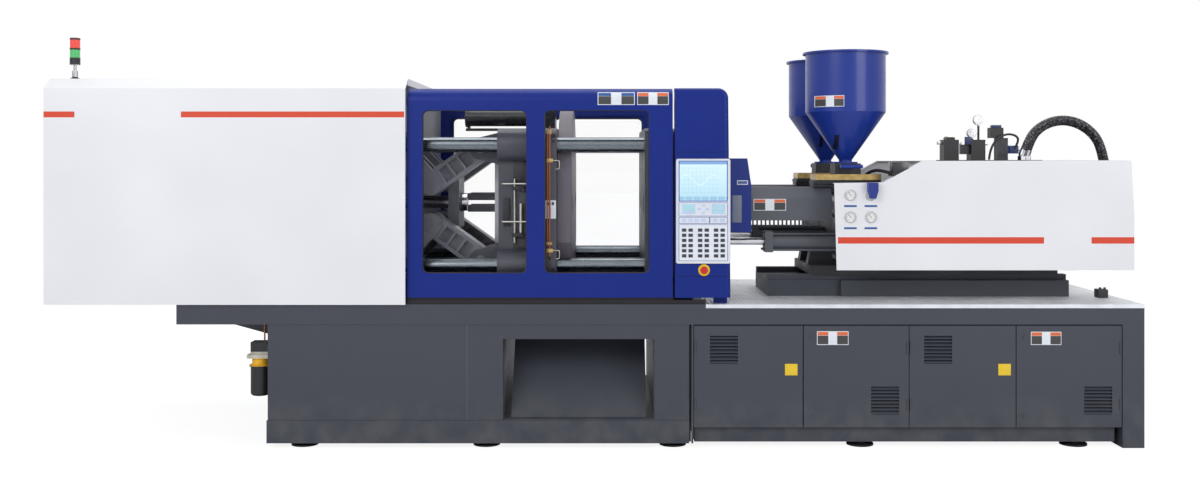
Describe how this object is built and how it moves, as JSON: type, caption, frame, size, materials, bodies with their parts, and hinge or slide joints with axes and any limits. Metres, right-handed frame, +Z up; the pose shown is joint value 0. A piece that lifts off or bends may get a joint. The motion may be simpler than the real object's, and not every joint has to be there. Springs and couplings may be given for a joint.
{
  "type": "injection moulding machine",
  "caption": "Horizontal two-component plastics moulding machine with a toggle clamp, a rotary mould table, sliding gates, hoppers and a control column.",
  "frame": {"origin": "on the floor, under the middle of the machine's length and width", "axes": "+X from the clamp end to the injection end, +Y from the operator side to the rear side, +Z up"},
  "size_m": [6.5, 1.54, 2.44],
  "materials": {
    "frame_grey": "satin dark grey enamel",
    "machine_blue": "satin deep blue enamel",
    "machine_white": "fine-textured white enamel",
    "cover_grey": "satin mid grey enamel",
    "platen_grey": "painted casting",
    "link_grey": "painted casting with a fine grain",
    "ground_steel": "ground",
    "hard_chrome": "hard chromed",
    "table_black": "blackened",
    "black_metal": "satin black",
    "deck_aluminium": "chequered sheet",
    "chute_metal": "bare sheet",
    "clear_pane": "clear polycarbonate",
    "screen_glass": "display glass",
    "bezel_white": "moulded, fine grain",
    "stop_red": "moulded",
    "lens_red": "ribbed lens",
    "lens_green": "ribbed lens",
    "tower_black": "moulded",
    "hose_rubber": "wrapped pressure hose",
    "pump_cream": "moulded",
    "throat_brass": "passivated plate",
    "valve_dark": "phosphated"
  },
  "bodies": {
    "machine_frame": {"clamp_bed": "frame_grey", "injection_bed": "frame_grey", "deck_plate": "deck_aluminium", "leveling_feet": "black_metal", "chute_plate": "chute_metal", "electrical_panel": "ground_steel", "power_pack": "cover_grey", "lubrication_pump": "tower_black", "tie_bars": "hard_chrome", "tie_bar_nuts": "black_metal", "fixed_platen": "platen_grey", "rear_platen": "platen_grey", "clamp_cylinder": "platen_grey", "clamp_hood": "machine_white", "signal_tower": "tower_black", "signal_lens_red": "lens_red", "signal_lens_green": "lens_green", "gate_tracks": "black_metal", "control_column": "machine_blue", "controller_bezel": "bezel_white", "screen": "screen_glass", "injection_base": "frame_grey", "carriage_rods": "hard_chrome"},
    "platen": {"moving_platen": "platen_grey", "table_drive": "cover_grey"},
    "table": {"rotary_table": "table_black"},
    "ejector": {"ejector_plate": "ground_steel"},
    "drive_head": {"crosshead": "link_grey", "clamp_rod": "hard_chrome"},
    "front_link_up": {"front_links_upper": "link_grey"},
    "front_link_low": {"front_links_lower": "link_grey"},
    "rear_link_up": {"rear_links_upper": "link_grey"},
    "rear_link_low": {"rear_links_lower": "link_grey"},
    "cross_link_up": {"crosshead_links_upper": "ground_steel"},
    "cross_link_low": {"crosshead_links_lower": "ground_steel"},
    "gate_front": {"front_gate": "machine_blue", "front_gate_panes": "clear_pane"},
    "gate_rear": {"rear_gate": "machine_blue", "rear_gate_panes": "clear_pane"},
    "door_1": {"cabinet_door_1": "frame_grey"},
    "door_2": {"cabinet_door_2": "frame_grey"},
    "door_3": {"cabinet_door_3": "frame_grey"},
    "door_4": {"cabinet_door_4": "frame_grey"},
    "guard": {"purge_guard": "machine_blue"},
    "stop_button": {"e_stop_button": "stop_red"},
    "carriage": {"carriage_frame": "black_metal", "barrels": "ground_steel", "injection_cylinders": "cover_grey", "barrel_covers": "cover_grey", "carriage_cylinders": "cover_grey", "injection_covers": "machine_white", "feed_throats": "throat_brass", "hoppers": "machine_blue", "valve_manifold": "valve_dark", "pressure_hose_front": "hose_rubber", "pressure_hose_rear": "hose_rubber"},
    "plunger_front": {"screw_front": "ground_steel"},
    "plunger_rear": {"screw_rear": "ground_steel"},
    "shutter_front": {"hopper_gate_front": "machine_blue"},
    "shutter_rear": {"hopper_gate_rear": "machine_blue"}
  },
  "joints": [
    {"name": "platen_slide", "type": "slide", "parent": "machine_frame", "child": "platen", "axis": [1, 0, 0], "range_m": [-0.06, 0.088]},
    {"name": "table_turn", "type": "hinge", "parent": "platen", "child": "table", "pos_m": [-0.187, 0, 1.43], "axis": [1, 0, 0], "range_deg": [0, 180]},
    {"name": "ejector_stroke", "type": "slide", "parent": "platen", "child": "ejector", "axis": [1, 0, 0], "range_m": [0, 0.1]},
    {"name": "crosshead_slide", "type": "slide", "parent": "machine_frame", "child": "drive_head", "axis": [1, 0, 0], "range_m": [-0.035, 0.05]},
    {"name": "front_link_up_pivot", "type": "hinge", "parent": "platen", "child": "front_link_up", "pos_m": [-0.71, 0, 1.775], "axis": [0, 1, 0], "range_deg": [-8, 11]},
    {"name": "front_link_low_pivot", "type": "hinge", "parent": "platen", "child": "front_link_low", "pos_m": [-0.71, 0, 1.085], "axis": [0, 1, 0], "range_deg": [-11, 8]},
    {"name": "rear_link_up_pivot", "type": "hinge", "parent": "machine_frame", "child": "rear_link_up", "pos_m": [-1.23, 0, 1.775], "axis": [0, 1, 0], "range_deg": [-15.5, 11]},
    {"name": "rear_link_low_pivot", "type": "hinge", "parent": "machine_frame", "child": "rear_link_low", "pos_m": [-1.23, 0, 1.085], "axis": [0, 1, 0], "range_deg": [-11, 15.5]},
    {"name": "cross_link_up_pivot", "type": "hinge", "parent": "drive_head", "child": "cross_link_up", "pos_m": [-1.198, 0, 1.58], "axis": [0, 1, 0], "range_deg": [-19, 13]},
    {"name": "cross_link_low_pivot", "type": "hinge", "parent": "drive_head", "child": "cross_link_low", "pos_m": [-1.198, 0, 1.28], "axis": [0, 1, 0], "range_deg": [-13, 19]},
    {"name": "front_gate_slide", "type": "slide", "parent": "machine_frame", "child": "gate_front", "axis": [-1, 0, 0], "range_m": [0, 1]},
    {"name": "rear_gate_slide", "type": "slide", "parent": "machine_frame", "child": "gate_rear", "axis": [-1, 0, 0], "range_m": [0, 1]},
    {"name": "door_1_hinge", "type": "hinge", "parent": "machine_frame", "child": "door_1", "pos_m": [0.593, -0.743, 0.423], "axis": [0, 0, -1], "range_deg": [0, 110]},
    {"name": "door_2_hinge", "type": "hinge", "parent": "machine_frame", "child": "door_2", "pos_m": [1.85, -0.743, 0.423], "axis": [0, 0, 1], "range_deg": [0, 90]},
    {"name": "door_3_hinge", "type": "hinge", "parent": "machine_frame", "child": "door_3", "pos_m": [1.868, -0.743, 0.423], "axis": [0, 0, -1], "range_deg": [0, 90]},
    {"name": "door_4_hinge", "type": "hinge", "parent": "machine_frame", "child": "door_4", "pos_m": [3.109, -0.743, 0.423], "axis": [0, 0, 1], "range_deg": [0, 110]},
    {"name": "purge_guard_hinge", "type": "hinge", "parent": "machine_frame", "child": "guard", "pos_m": [0.602, 0, 1.714], "axis": [0, -1, 0], "range_deg": [0, 70]},
    {"name": "stop_button_travel", "type": "slide", "parent": "machine_frame", "child": "stop_button", "axis": [0, 1, 0], "range_m": [0, 0.005]},
    {"name": "carriage_slide", "type": "slide", "parent": "machine_frame", "child": "carriage", "axis": [-1, 0, 0], "range_m": [0, 0.25]},
    {"name": "screw_front_stroke", "type": "slide", "parent": "carriage", "child": "plunger_front", "axis": [1, 0, 0], "range_m": [0, 0.16]},
    {"name": "screw_rear_stroke", "type": "slide", "parent": "carriage", "child": "plunger_rear", "axis": [1, 0, 0], "range_m": [0, 0.16]},
    {"name": "shutter_front_pull", "type": "slide", "parent": "carriage", "child": "shutter_front", "axis": [0, -1, 0], "range_m": [0, 0.09]},
    {"name": "shutter_rear_pull", "type": "slide", "parent": "carriage", "child": "shutter_rear", "axis": [0, 1, 0], "range_m": [0, 0.09]}
  ],
  "couplings": [
    {"joint": "crosshead_slide", "follows": "platen_slide", "ratio": 0.5312},
    {"joint": "front_link_up_pivot", "follows": "platen_slide", "rad_per_m": 1.952},
    {"joint": "front_link_low_pivot", "follows": "platen_slide", "rad_per_m": -1.952},
    {"joint": "rear_link_up_pivot", "follows": "platen_slide", "rad_per_m": -2.789},
    {"joint": "rear_link_low_pivot", "follows": "platen_slide", "rad_per_m": 2.789},
    {"joint": "cross_link_up_pivot", "follows": "platen_slide", "rad_per_m": -3.414},
    {"joint": "cross_link_low_pivot", "follows": "platen_slide", "rad_per_m": 3.414}
  ]
}
